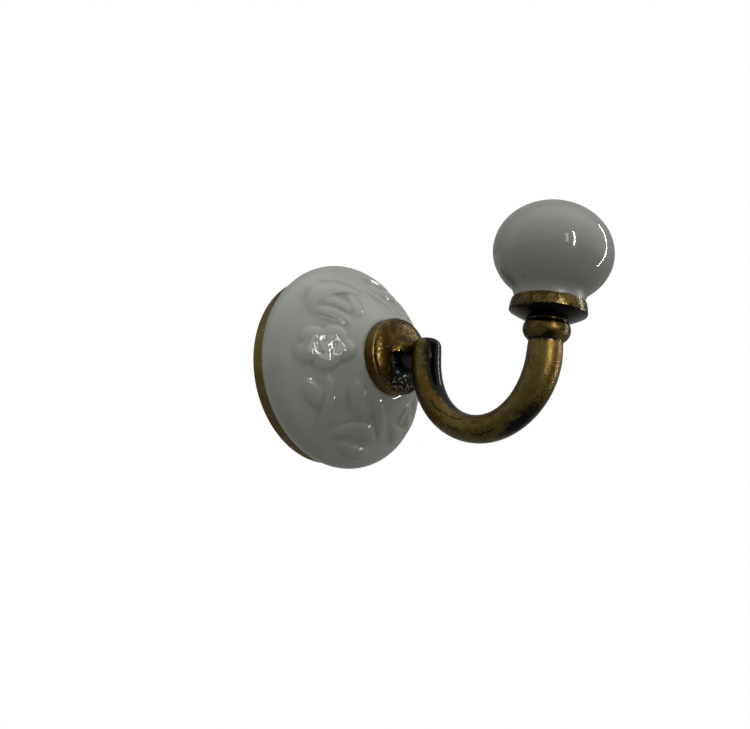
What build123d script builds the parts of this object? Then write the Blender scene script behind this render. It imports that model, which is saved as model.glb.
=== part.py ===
"""Wall hook with a glazed ceramic rose and knob on a cast brass arm.

Frame: the wall is the plane y = 0 and the hook stands out towards -Y, with +Z up. The origin is
the centre of the back plate's rear face, and the arm lies in the plane x = 0. Lengths are in mm.
"""
import os
from math import acos, asin, cos, degrees, radians, sin, tan

from build123d import *

# Back plate: a turned brass disc, fixed to the wall by two countersunk screws under the rose
plate_radius = 23.1
plate_thickness = 4.0
plate_edge_break = 0.4
wall_screw_spacing = 28.0
wall_screw_radius = 2.2
wall_screw_head_radius = 4.2

# Ceramic rose: a domed shell with low ornament on its flank
rose_radius = 25.0
rose_height = 19.6
rose_edge_radius = 5.8
rose_edge_height = 3.7
rose_shoulder_angle = 46.0
rose_land_margin = 0.6
rose_roof = 5.2
rose_rear_land = 3.4
rose_cavity_roof_radius = 7.0
rose_bore_radius = 3.4

# Ornament: a garland of flowers, leaves and scrolls, the same twice round the rose
relief_rise = 0.6
garland_repeats = 2
flower_place = (-16.6, -0.5)
petal_count = 5
petal_turn = -8.0
petal_circle = 2.95
petal_length = 2.2
petal_width = 2.1
petal_parting = 0.45
petal_reach = 5.6
flower_eye_radius = 1.85
button_radius = 1.35
volute_width = 2.9
volute_tail_width = 1.6
inner_curl_width = 1.9
crest_curl_width = 1.8
leaf_width = 2.1
stem_width = 1.5
bud_width = 2.5
long_curl_width = 2.0
low_curl_width = 2.4
rim_curl_width = 1.6

# Fixing stud: clamps the rose between the arm's boss and the plate
stud_radius = 2.5
stud_play = 0.05
stud_inset = 0.6
stud_point = 0.5
socket_depth = 4.4

# Arm, cast in one: boss, stem, round bar bent to a J, bead and cup
boss_radius = 9.2
boss_rim = 2.8
boss_groove_width = 0.45
boss_groove_depth = 0.55
boss_face_radius = 8.85
boss_face_lip = 0.35
boss_dome_rise = 1.2
boss_dome_crown = 0.7
boss_neck_foot_radius = 4.7
boss_neck_radius = 3.2
boss_neck_height = 1.0
stem_half_width = 2.7
stem_half_height = 1.75
stem_centre_height = 1.65
stem_flare = 0.9
stem_droop = 0.35
bar_radius_root = 3.15
bar_radius_swell = 3.4
bar_radius_low = 3.15
bar_radius_full = 3.5
bar_radius_end = 3.6
elbow_height = 2.9
elbow_rounding = 2.1
leg_reach = 35.2
bend_start_height = -1.8
bend_radius_inner = 18.75
bend_radius_outer = 16.0
bar_sections = [
    (0.0, bar_radius_root),
    (0.2, bar_radius_swell),
    (0.45, bar_radius_low),
    (0.65, bar_radius_full),
    (1.0, bar_radius_end),
]
knob_lean = 3.4
bead_radius = 5.25
bead_half_height = 2.35
bead_below_cup = 4.0
cup_above_bend = 8.9
cup_radius = 8.6
cup_top_radius = 8.15
cup_height = 2.75
cup_rim_crown = 0.12
cup_drop = 1.9
cup_waist_radius = 4.5
cup_underside_crown = 0.1
cup_recess_depth = 0.9

# Ceramic knob and the stud that holds it in the cup
knob_radius = 13.3
knob_equator_height = 13.6
knob_top_height = 25.1
knob_belly_height = 11.15
knob_cove_radius = 9.0
knob_foot_radius = 7.7
knob_spigot_radius = 7.0
knob_fit = 0.2
knob_rim_gap = 0.05
knob_stud_radius = 2.0
knob_stud_grip = 8.0
knob_stud_depth = 6.2

# Places that follow from the sizes above
rose_back = plate_thickness
rose_front = rose_back + rose_height
rose_land_radius = boss_radius + rose_land_margin
boss_front = rose_front + boss_rim
groove_front = boss_front + boss_groove_width
face_front = groove_front + boss_face_lip
dome_front = face_front + boss_dome_rise
neck_front = dome_front + boss_neck_height
bend_bottom_height = bend_start_height - bend_radius_inner
bend_reach = leg_reach + bend_radius_inner
outer_centre_height = bend_bottom_height + bend_radius_outer
lean = radians(knob_lean)
up_the_knob = Vector(0, -sin(lean), cos(lean))
bend_end = Vector(
    0,
    -bend_reach - bend_radius_outer * cos(lean),
    outer_centre_height - bend_radius_outer * sin(lean),
)
cup_base = bend_end + up_the_knob * cup_above_bend
knob_section_plane = Plane(origin=cup_base, x_dir=(1, 0, 0), z_dir=(0, -cos(lean), -sin(lean)))
knob_axis = Axis(cup_base, up_the_knob)
bead_centre = cup_base - up_the_knob * bead_below_cup
cup_floor = cup_height - cup_recess_depth
bead_bottom = -bead_below_cup - bead_half_height
knob_seat = Plane(origin=cup_base + up_the_knob * cup_floor, x_dir=(1, 0, 0), z_dir=up_the_knob)
knob_foot_height = cup_height + knob_rim_gap
knob_cove_angle = degrees(acos(knob_cove_radius / knob_radius))
knob_crown_height = knob_top_height - knob_equator_height
stem_sections = [
    (face_front, stem_centre_height, stem_flare),
    (neck_front, stem_centre_height, 0),
    (leg_reach, stem_centre_height - stem_droop, 0),
]


def rose_outline(rise):
    """Draw the outer half section of the rose, moved forward by rise, closed along its axis.

    Args:
        rise: how far the section lies in front of the plain dome.

    Returns:
        The half section as a sketch in the XY plane, with the front towards -Y.
    """
    centre = (rose_radius - rose_edge_radius, -rose_back - rose_edge_height - rise)
    rear_angle = degrees(asin(rose_edge_height / rose_edge_radius))
    with BuildSketch(Plane.XY, mode=Mode.PRIVATE) as section:
        with BuildLine():
            edge = CenterArc(centre, rose_edge_radius, rear_angle, rose_shoulder_angle - 90 - rear_angle)
            flank = TangentArc(edge @ 1, (rose_land_radius, -rose_front - rise), tangent=edge % 1)
            Line(flank @ 1, (0, -rose_front - rise))
            Line((0, -rose_front - rise), (0, -rose_back - rise))
            Line((0, -rose_back - rise), edge @ 0)
        make_face()
    return section.sketch


def crescent(start, middle, end, width):
    """Draw a tapering curl: two arcs that share their ends.

    Args:
        start: first end of the curl.
        middle: point on its outer edge.
        end: second end of the curl.
        width: greatest width, between the two arcs.

    Returns:
        The curl's outline as a sketch.
    """
    chord_middle = (Vector(*start) + Vector(*end)) / 2
    inward = (chord_middle - Vector(*middle)).normalized()
    with BuildSketch(mode=Mode.PRIVATE) as curl:
        with BuildLine():
            ThreePointArc(start, middle, end)
            ThreePointArc(end, Vector(*middle) + inward * width, start)
        make_face()
    return curl.sketch


def leaf(root, tip, width):
    """Draw a pointed leaf.

    Args:
        root: end of the leaf at its stem.
        tip: far end of the leaf.
        width: greatest width of the blade.

    Returns:
        The leaf's outline as a sketch.
    """
    along = Vector(*tip) - Vector(*root)
    across = Vector(-along.Y, along.X).normalized() * width / 2
    middle = (Vector(*tip) + Vector(*root)) / 2
    with BuildSketch(mode=Mode.PRIVATE) as blade:
        with BuildLine():
            ThreePointArc(root, middle + across, tip)
            ThreePointArc(tip, middle - across, root)
        make_face()
    return blade.sketch


def flower():
    """Draw a five-petalled flower with a round button in its eye, about its own centre.

    Returns:
        The flower's outlines as a sketch.
    """
    with BuildSketch(mode=Mode.PRIVATE) as bloom:
        with PolarLocations(petal_circle, petal_count, petal_turn):
            Ellipse(petal_length, petal_width)
        with PolarLocations(petal_reach / 2, petal_count, petal_turn + 180 / petal_count):
            Rectangle(petal_reach, petal_parting, mode=Mode.SUBTRACT)
        Circle(flower_eye_radius, mode=Mode.SUBTRACT)
        Circle(button_radius)
    return bloom.sketch


def garland():
    """Draw the flower, leaves and scrolls of the left half of the rose, seen from the front.

    Returns:
        The ornament's outlines as a sketch, with X across and Z upwards.
    """
    with BuildSketch(mode=Mode.PRIVATE) as outlines:
        with Locations(flower_place):
            add(flower())
        # Volute over the flower: broad outer band, its tail, the inner curl and the crest below
        add(crescent((-18.5, 8.6), (-15.0, 16.1), (-6.5, 14.4), volute_width))
        add(crescent((-10.0, 14.2), (-8.6, 11.2), (-10.2, 8.0), volute_tail_width))
        add(crescent((-16.2, 10.7), (-13.1, 12.3), (-11.5, 9.0), inner_curl_width))
        add(crescent((-18.6, 8.2), (-14.4, 8.9), (-12.0, 5.9), crest_curl_width))
        # Stem, leaf and bud under the flower
        add(crescent((-15.0, -7.2), (-12.2, -13.1), (-11.5, -19.6), stem_width))
        add(leaf((-18.5, -8.7), (-14.7, -13.6), leaf_width))
        add(leaf((-5.5, -14.7), (-9.3, -7.8), bud_width))
        # Scrolls that lead on to the next flower
        add(crescent((-2.9, -10.4), (-0.2, -14.6), (6.2, -17.9), long_curl_width))
        add(crescent((-9.3, -19.4), (-3.2, -16.4), (3.2, -18.7), low_curl_width))
        add(crescent((-5.2, -20.8), (-0.6, -22.8), (4.4, -20.9), rim_curl_width))
    return outlines.sketch


def oval_quarter(start, end, half_height):
    """Find the cubic curve that follows part of the knob's oval outline.

    Args:
        start: angle where the curve starts, in degrees up from the equator.
        end: angle where it ends, at most a quarter turn further.
        half_height: the oval's half height on this side of the equator.

    Returns:
        The four control points, each a radius and a height above the cup's lower edge.
    """
    reach = 4 / 3 * tan(radians(end - start) / 4)
    low = Vector(knob_radius * cos(radians(start)), half_height * sin(radians(start)))
    high = Vector(knob_radius * cos(radians(end)), half_height * sin(radians(end)))
    low_slope = Vector(-knob_radius * sin(radians(start)), half_height * cos(radians(start)))
    high_slope = Vector(-knob_radius * sin(radians(end)), half_height * cos(radians(end)))
    equator = Vector(0, knob_equator_height)
    points = [low, low + low_slope * reach, high - high_slope * reach, high]
    return [equator + point for point in points]


os.makedirs("parts", exist_ok=True)

# Back plate
with BuildPart() as back_plate:
    with BuildSketch(Plane.XZ):
        Circle(plate_radius)
    extrude(amount=plate_thickness)
    chamfer(back_plate.edges(), plate_edge_break)
    with BuildSketch(Plane.XZ):
        Circle(stud_radius + stud_play)
    extrude(amount=plate_thickness, mode=Mode.SUBTRACT)
    with Locations(Plane.XZ.offset(plate_thickness)):
        with GridLocations(wall_screw_spacing, 0, 2, 1):
            CounterSinkHole(wall_screw_radius, wall_screw_head_radius, plate_thickness)
back_plate.part.label = "back_plate"

# Ceramic rose: dome, raised ornament, then the hollow and the bore
with BuildPart() as rose:
    add(rose_outline(0.0))
    revolve(axis=Axis.Y)
    with BuildPart(mode=Mode.PRIVATE) as ornament:
        with BuildSketch(Plane.XZ):
            with PolarLocations(0, garland_repeats):
                add(garland())
        extrude(amount=rose_front + 2 * relief_rise)
        with BuildSketch(Plane.XY):
            add(rose_outline(relief_rise))
        revolve(axis=Axis.Y, mode=Mode.INTERSECT)
    add(ornament.part)
    with BuildSketch(Plane.XY):
        with BuildLine():
            Polyline(
                (0, -rose_back + 1),
                (rose_radius - rose_rear_land - 1.4, -rose_back + 1),
                (rose_radius - rose_rear_land - 1.4, -rose_back),
                (rose_cavity_roof_radius, -rose_front + rose_roof),
                (rose_bore_radius, -rose_front + rose_roof),
                (rose_bore_radius, -rose_front - 1),
                (0, -rose_front - 1),
                close=True,
            )
        make_face()
    revolve(axis=Axis.Y, mode=Mode.SUBTRACT)
rose.part.label = "rose"

# Arm: the round bar, bent to a J and thicker towards the knob
with BuildPart() as hook_arm:
    with BuildLine(Plane.YZ) as bar_route:
        Line((-leg_reach, elbow_height), (-leg_reach, bend_start_height))
        CenterArc((-bend_reach, bend_start_height), bend_radius_inner, 0, -90)
        CenterArc((-bend_reach, outer_centre_height), bend_radius_outer, -90, knob_lean - 90)
        Line((bend_end.Y, bend_end.Z), (bead_centre.Y, bead_centre.Z))
    bar_wire = bar_route.wire()
    for station, radius in bar_sections:
        with BuildSketch(Plane(origin=bar_wire @ station, z_dir=bar_wire % station)):
            Circle(radius)
    sweep(path=bar_wire, multisection=True)
    fillet(hook_arm.edges().sort_by(Axis.Z)[-1], elbow_rounding)
    # Boss: rim, groove and shallow domed face with the root of the stem
    with BuildSketch(Plane.XY):
        with BuildLine():
            Polyline(
                (0, -rose_front),
                (boss_radius, -rose_front),
                (boss_radius, -boss_front),
                (boss_radius - boss_groove_depth, -boss_front),
                (boss_radius - boss_groove_depth, -groove_front),
                (boss_face_radius, -groove_front),
                (boss_face_radius, -face_front),
            )
            ThreePointArc(
                (boss_face_radius, -face_front),
                (
                    (boss_face_radius + boss_neck_foot_radius) / 2,
                    -(face_front + dome_front) / 2 - boss_dome_crown / 2,
                ),
                (boss_neck_foot_radius, -dome_front),
            )
            Line((boss_neck_foot_radius, -dome_front), (boss_neck_radius, -neck_front))
            Line((boss_neck_radius, -neck_front), (0, -neck_front))
            Line((0, -neck_front), (0, -rose_front))
        make_face()
    revolve(axis=Axis.Y)
    # Stem: a flattened bar from the boss to the top of the leg, wider at its root
    for reach, height, flare in stem_sections:
        with BuildSketch(Plane.XZ.offset(reach)):
            with Locations((0, height)):
                Ellipse(stem_half_width + flare, stem_half_height + flare)
    loft()
    # Bead and cup, turned about the leaning axis of the knob
    with BuildSketch(knob_section_plane):
        with BuildLine():
            Line((0, bead_bottom), (bar_radius_end, bead_bottom))
            ThreePointArc(
                (bar_radius_end, bead_bottom),
                (bead_radius, -bead_below_cup),
                (cup_waist_radius, -cup_drop),
            )
            ThreePointArc(
                (cup_waist_radius, -cup_drop),
                (
                    (cup_waist_radius + cup_radius) / 2 + cup_underside_crown / 2,
                    -cup_drop / 2 - cup_underside_crown,
                ),
                (cup_radius, 0),
            )
            ThreePointArc(
                (cup_radius, 0),
                ((cup_radius + cup_top_radius) / 2 + cup_rim_crown, cup_height / 2),
                (cup_top_radius, cup_height),
            )
            Polyline(
                (cup_top_radius, cup_height),
                (knob_spigot_radius + knob_fit, cup_height),
                (knob_spigot_radius + knob_fit, cup_floor),
                (0, cup_floor),
                (0, bead_bottom),
            )
        make_face()
    revolve(axis=knob_axis)
    # Threaded sockets for the two studs
    with Locations(Plane.XZ.offset(rose_front)):
        with Locations((0, 0, socket_depth / 2)):
            Cylinder(stud_radius + stud_play, socket_depth, mode=Mode.SUBTRACT)
    with Locations(knob_seat):
        with Locations((0, 0, -knob_stud_depth / 2)):
            Cylinder(knob_stud_radius + stud_play, knob_stud_depth, mode=Mode.SUBTRACT)
hook_arm.part.label = "hook_arm"

# Ceramic knob: an oblate ball on a coved foot, with a spigot that stands in the cup
with BuildPart() as knob:
    with BuildSketch(knob_section_plane):
        with BuildLine():
            Polyline(
                (knob_stud_radius + stud_play, cup_floor + knob_stud_grip),
                (knob_stud_radius + stud_play, cup_floor),
                (knob_spigot_radius, cup_floor),
                (knob_spigot_radius, knob_foot_height),
                (knob_foot_radius, knob_foot_height),
            )
            belly = Bezier(*oval_quarter(-knob_cove_angle, 0, knob_belly_height))
            cove_turn = (belly % 0).normalized()
            cove_grip = (belly @ 0 - Vector(knob_foot_radius, knob_foot_height)).length / 3
            Bezier(
                (knob_foot_radius, knob_foot_height),
                (knob_foot_radius, knob_foot_height + cove_grip),
                belly @ 0 - cove_turn * cove_grip,
                belly @ 0,
            )
            Bezier(*oval_quarter(0, 90, knob_crown_height))
            Polyline(
                (0, knob_top_height),
                (0, cup_floor + knob_stud_grip),
                (knob_stud_radius + stud_play, cup_floor + knob_stud_grip),
            )
        make_face()
    revolve(axis=knob_axis)
knob.part.label = "knob"

# Fixing stud, from the plate through the rose into the boss
with BuildPart() as fixing_stud:
    with BuildSketch(Plane.XZ.offset(stud_inset)):
        Circle(stud_radius)
    extrude(amount=rose_front + socket_depth - 2 * stud_inset)
    chamfer(fixing_stud.edges(), stud_point)
fixing_stud.part.label = "fixing_stud"

# Knob stud, from the cup into the knob
with BuildPart() as knob_stud:
    with BuildSketch(knob_seat.offset(stud_inset - knob_stud_depth)):
        Circle(knob_stud_radius)
    extrude(amount=knob_stud_depth + knob_stud_grip - 2 * stud_inset)
    chamfer(knob_stud.edges(), stud_point)
knob_stud.part.label = "knob_stud"

export_step(back_plate.part, "parts/back_plate.step")
export_step(rose.part, "parts/rose.step")
export_step(hook_arm.part, "parts/hook_arm.step")
export_step(knob.part, "parts/knob.step")
export_step(fixing_stud.part, "parts/fixing_stud.step")
export_step(knob_stud.part, "parts/knob_stud.step")
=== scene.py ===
"""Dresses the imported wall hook: glazed ceramic, aged cast brass, a plain studio and the camera.

Lengths are in metres, in the part's own frame: the wall is the plane y = 0, the hook stands out
towards -Y, and +Z is up.
"""

import logging
import math
from dataclasses import dataclass, field
from enum import Enum

import bmesh
import bpy
import numpy as np
from mathutils import Matrix, Quaternion, Vector
from mathutils.bvhtree import BVHTree


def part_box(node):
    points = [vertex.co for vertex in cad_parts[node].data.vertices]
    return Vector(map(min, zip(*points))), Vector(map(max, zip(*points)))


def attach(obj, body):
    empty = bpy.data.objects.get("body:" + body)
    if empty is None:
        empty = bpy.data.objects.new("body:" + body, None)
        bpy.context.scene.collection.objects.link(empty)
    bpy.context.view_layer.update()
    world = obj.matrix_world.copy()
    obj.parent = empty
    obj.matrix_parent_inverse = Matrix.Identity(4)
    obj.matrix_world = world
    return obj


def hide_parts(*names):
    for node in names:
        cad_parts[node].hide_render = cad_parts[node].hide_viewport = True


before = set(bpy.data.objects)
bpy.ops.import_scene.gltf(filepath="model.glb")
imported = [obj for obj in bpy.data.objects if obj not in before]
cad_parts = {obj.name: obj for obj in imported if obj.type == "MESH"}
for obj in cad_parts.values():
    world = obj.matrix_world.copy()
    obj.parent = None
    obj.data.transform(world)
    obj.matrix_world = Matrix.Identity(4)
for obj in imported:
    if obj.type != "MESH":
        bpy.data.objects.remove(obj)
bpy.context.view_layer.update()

log = logging.getLogger("wall_hook")

MILLIMETRE = 0.001
FAR_AWAY = 99.0
TINY = 1e-12
Colour = tuple[float, float, float]
Direction = tuple[float, float, float]
Band = tuple[float, float]


class Node(Enum):
    """Names of the part's nodes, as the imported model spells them."""

    PLATE = "back_plate"
    ROSE = "rose"
    ARM = "hook_arm"
    KNOB = "knob"
    FIXING_STUD = "fixing_stud"
    KNOB_STUD = "knob_stud"


class Slot(Enum):
    """Names of material slots of the record."""

    ROSE_GLAZE = "rose_glaze"
    AGED_BRASS = "aged_brass"


class Reach(Enum):
    """What a lamp shines on, by the rose's state in its light linking."""

    EVERYTHING = ""
    ROSE_ONLY = "INCLUDE"
    ALL_BUT_ROSE = "EXCLUDE"


class NodeGraph:
    """A node tree, built by short calls."""

    def __init__(self, tree: bpy.types.NodeTree) -> None:
        """Start with an empty tree.

        Args:
            tree: the tree, whose nodes are removed.
        """
        self.tree = tree
        self.tree.nodes.clear()

    def node(self, kind: str, **settings: object) -> bpy.types.Node:
        """Add a node and set its properties.

        Args:
            kind: the node's type name.
            settings: properties of the node, by name.

        Returns:
            The new node.
        """
        made = self.tree.nodes.new(kind)
        for key, value in settings.items():
            setattr(made, key, value)
        return made

    def join(self, source: bpy.types.NodeSocket, target: bpy.types.NodeSocket) -> None:
        """Link an output to an input."""
        self.tree.links.new(source, target)

    def feed(self, target: bpy.types.NodeSocket, value: object) -> None:
        """Link a socket to an input, or write a plain value on it.

        Args:
            target: the input.
            value: an output socket, a number or a colour.
        """
        if isinstance(value, bpy.types.NodeSocket):
            self.join(value, target)
        elif isinstance(value, tuple):
            target.default_value = (*value, 1.0) if len(value) == 3 else value
        else:
            target.default_value = value

    def spread(
        self, value: bpy.types.NodeSocket, band: Band, floor: float = 0.0, top: float = 1.0
    ) -> bpy.types.NodeSocket:
        """Stretch a range of a value smoothly to another range.

        Args:
            value: the value.
            band: values that become floor and top.
            floor: lowest result.
            top: highest result.

        Returns:
            The stretched value.
        """
        made = self.node("ShaderNodeMapRange", interpolation_type="SMOOTHSTEP")
        self.feed(made.inputs["Value"], value)
        for name, number in zip(("From Min", "From Max", "To Min", "To Max"), (*band, floor, top)):
            made.inputs[name].default_value = number
        return made.outputs["Result"]

    def calculate(self, operation: str, *values: object) -> bpy.types.NodeSocket:
        """Work out a number from others.

        Args:
            operation: the Math node's operation.
            values: sockets or numbers, in the node's order.

        Returns:
            The result.
        """
        made = self.node("ShaderNodeMath", operation=operation)
        for target, value in zip(made.inputs, values):
            self.feed(target, value)
        return made.outputs[0]

    def blend(self, factor: object, first: object, second: object) -> bpy.types.NodeSocket:
        """Mix two colours.

        Args:
            factor: share of the second colour, a socket or number.
            first: a socket or colour.
            second: a socket or colour.

        Returns:
            The mixed colour.
        """
        made = self.node("ShaderNodeMix", data_type="RGBA")
        # Inputs 6 and 7 and output 2 are the node's colours, after its numbers and vectors
        self.feed(made.inputs["Factor"], factor)
        self.feed(made.inputs[6], first)
        self.feed(made.inputs[7], second)
        return made.outputs[2]

    def along(self, place: bpy.types.NodeSocket, direction: Direction) -> bpy.types.NodeSocket:
        """Measure how far a place or a ray runs along a direction.

        Args:
            place: the place or ray, as a vector.
            direction: the direction.

        Returns:
            The length along it.
        """
        made = self.node("ShaderNodeVectorMath", operation="DOT_PRODUCT")
        self.join(place, made.inputs[0])
        made.inputs[1].default_value = direction
        return made.outputs["Value"]


class Shader(NodeGraph):
    """A material and its node tree."""

    def __init__(self, name: str) -> None:
        """Start an empty material.

        Args:
            name: the material's name.
        """
        self.material = bpy.data.materials.new(name)
        self.material.use_nodes = True
        super().__init__(self.material.node_tree)
        self.output = self.node("ShaderNodeOutputMaterial")
        self.place = self.node("ShaderNodeTexCoord").outputs["Object"]

    def attribute(self, name: str, output: str = "Fac") -> bpy.types.NodeSocket:
        """Read what the mesh carries at each vertex, as a number or with output "Vector" a place."""
        return self.node("ShaderNodeAttribute", attribute_name=name).outputs[output]

    def noise(
        self,
        size: float,
        detail: float = 3.0,
        roughness: float = 0.5,
        stretch: Direction = (1.0, 1.0, 1.0),
        place: bpy.types.NodeSocket | None = None,
    ) -> bpy.types.NodeSocket:
        """Add a cloudy pattern.

        Args:
            size: size of one cloud, in metres.
            detail: octaves of finer pattern.
            roughness: share of the finer octaves.
            stretch: how much the pattern is stretched along X, Y and Z.
            place: the coordinates it lies in, the object's own if left out.

        Returns:
            The pattern's strength, from 0 to 1.
        """
        mapping = self.node("ShaderNodeMapping")
        mapping.inputs["Scale"].default_value = [1.0 / (size * along) for along in stretch]
        self.join(place or self.place, mapping.inputs["Vector"])
        made = self.node("ShaderNodeTexNoise")
        made.inputs["Scale"].default_value = 1.0
        made.inputs["Detail"].default_value = detail
        made.inputs["Roughness"].default_value = roughness
        self.join(mapping.outputs["Vector"], made.inputs["Vector"])
        return made.outputs["Fac"]

    def bump(
        self,
        height: bpy.types.NodeSocket,
        depth: float,
        below: bpy.types.NodeSocket | None = None,
        strength: object = 1.0,
    ) -> bpy.types.NodeSocket:
        """Turn a pattern into fine relief.

        Args:
            height: the pattern, from 0 to 1.
            depth: depth of the relief, in metres.
            below: a coarser relief that this one lies on.
            strength: share of the relief that shows, a socket or number.

        Returns:
            The bent normal.
        """
        made = self.node("ShaderNodeBump")
        self.feed(made.inputs["Strength"], strength)
        made.inputs["Distance"].default_value = depth
        self.join(height, made.inputs["Height"])
        if below is not None:
            self.join(below, made.inputs["Normal"])
        return made.outputs["Normal"]

    def surface(self, **inputs: object) -> bpy.types.Material:
        """Finish the material with a principled surface.

        Args:
            inputs: sockets or values by input name, with underscores for spaces.

        Returns:
            The finished material.
        """
        made = self.node("ShaderNodeBsdfPrincipled")
        for name, value in inputs.items():
            self.feed(made.inputs[name.replace("_", " ")], value)
        self.join(made.outputs["BSDF"], self.output.inputs["Surface"])
        return self.material


@dataclass(frozen=True)
class Glaze:
    """A glossy white glaze over ceramic, warmer and darker where it pools, the darkening painted shade, with
    a painted contact shadow where the mesh marks one.
    """

    name: str
    body: Colour = (0.335, 0.343, 0.312)
    cloud: Colour = (0.312, 0.318, 0.284)
    cloud_size: float = 12 * MILLIMETRE
    cloud_band: Band = (0.35, 0.7)
    # Glaze pooled in hollows, darker than the body as painted shade
    pooled_and_shaded: Colour = (0.240, 0.222, 0.170)
    pooled_size: float = 3 * MILLIMETRE
    pooled_band: Band = (0.38, 0.62)
    pooled_least: float = 0.15
    hollow_band: Band = (0.05, 0.9)
    # Painted contact shadow along the rose's rear edge
    contact_shadow: Colour = (0.020, 0.016, 0.010)
    speck: Colour = (0.07, 0.045, 0.025)
    speck_size: float = 1.1 * MILLIMETRE
    speck_band: Band = (0.79, 0.84)
    speck_strength: float = 0.6
    ripple_size: float = 6 * MILLIMETRE
    ripple_depth: float = 0.02 * MILLIMETRE
    dimple_size: float = 0.9 * MILLIMETRE
    dimple_depth: float = 0.004 * MILLIMETRE
    foot_axis: Direction = (0.0, 0.0, 1.0)
    foot_level: float = -1.0
    foot_blend: float = 0.7 * MILLIMETRE
    foot_dullness: float = 0.38
    roughness: float = 0.04
    roughness_change: float = 0.03
    roughness_size: float = 4 * MILLIMETRE
    roughness_band: Band = (0.3, 0.7)
    refraction: float = 1.52

    def make(self) -> bpy.types.Material:
        """Build the material.

        Returns:
            The glaze, which reads the mesh's attribute "hollow" for its warmer, darker tint where glaze
            pools, the darkening painted shade in the hollows, and a second attribute for the painted contact
            shadow along its rear edge. Below foot_level along foot_axis it is thin and dull.
        """
        shader = Shader(self.name)
        clouds = shader.spread(shader.noise(self.cloud_size), self.cloud_band)
        colour = shader.blend(clouds, self.body, self.cloud)
        # Warmer glaze where it pools in hollows, darker there as painted shade
        pooling_and_shade = shader.calculate(
            "MULTIPLY",
            shader.spread(shader.attribute("hollow"), self.hollow_band),
            shader.spread(shader.noise(self.pooled_size, detail=4), self.pooled_band, self.pooled_least),
        )
        colour = shader.blend(pooling_and_shade, colour, self.pooled_and_shaded)
        # Painted contact shadow along the rear edge, where the mesh marks it
        colour = shader.blend(shader.attribute("contact_shadow"), colour, self.contact_shadow)
        specks = shader.noise(self.speck_size, detail=1)
        specks = shader.spread(specks, self.speck_band, 0.0, self.speck_strength)
        colour = shader.blend(specks, colour, self.speck)
        gloss = shader.spread(
            shader.noise(self.roughness_size),
            self.roughness_band,
            self.roughness,
            self.roughness + self.roughness_change,
        )
        foot = shader.spread(
            shader.along(shader.place, self.foot_axis),
            (self.foot_level, self.foot_level + self.foot_blend),
            self.foot_dullness,
            0.0,
        )
        ripple = shader.bump(shader.noise(self.ripple_size, detail=2), self.ripple_depth)
        return shader.surface(
            Base_Color=colour,
            Roughness=shader.calculate("MAXIMUM", gloss, foot),
            IOR=self.refraction,
            Normal=shader.bump(shader.noise(self.dimple_size, detail=1), self.dimple_depth, ripple),
        )


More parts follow.
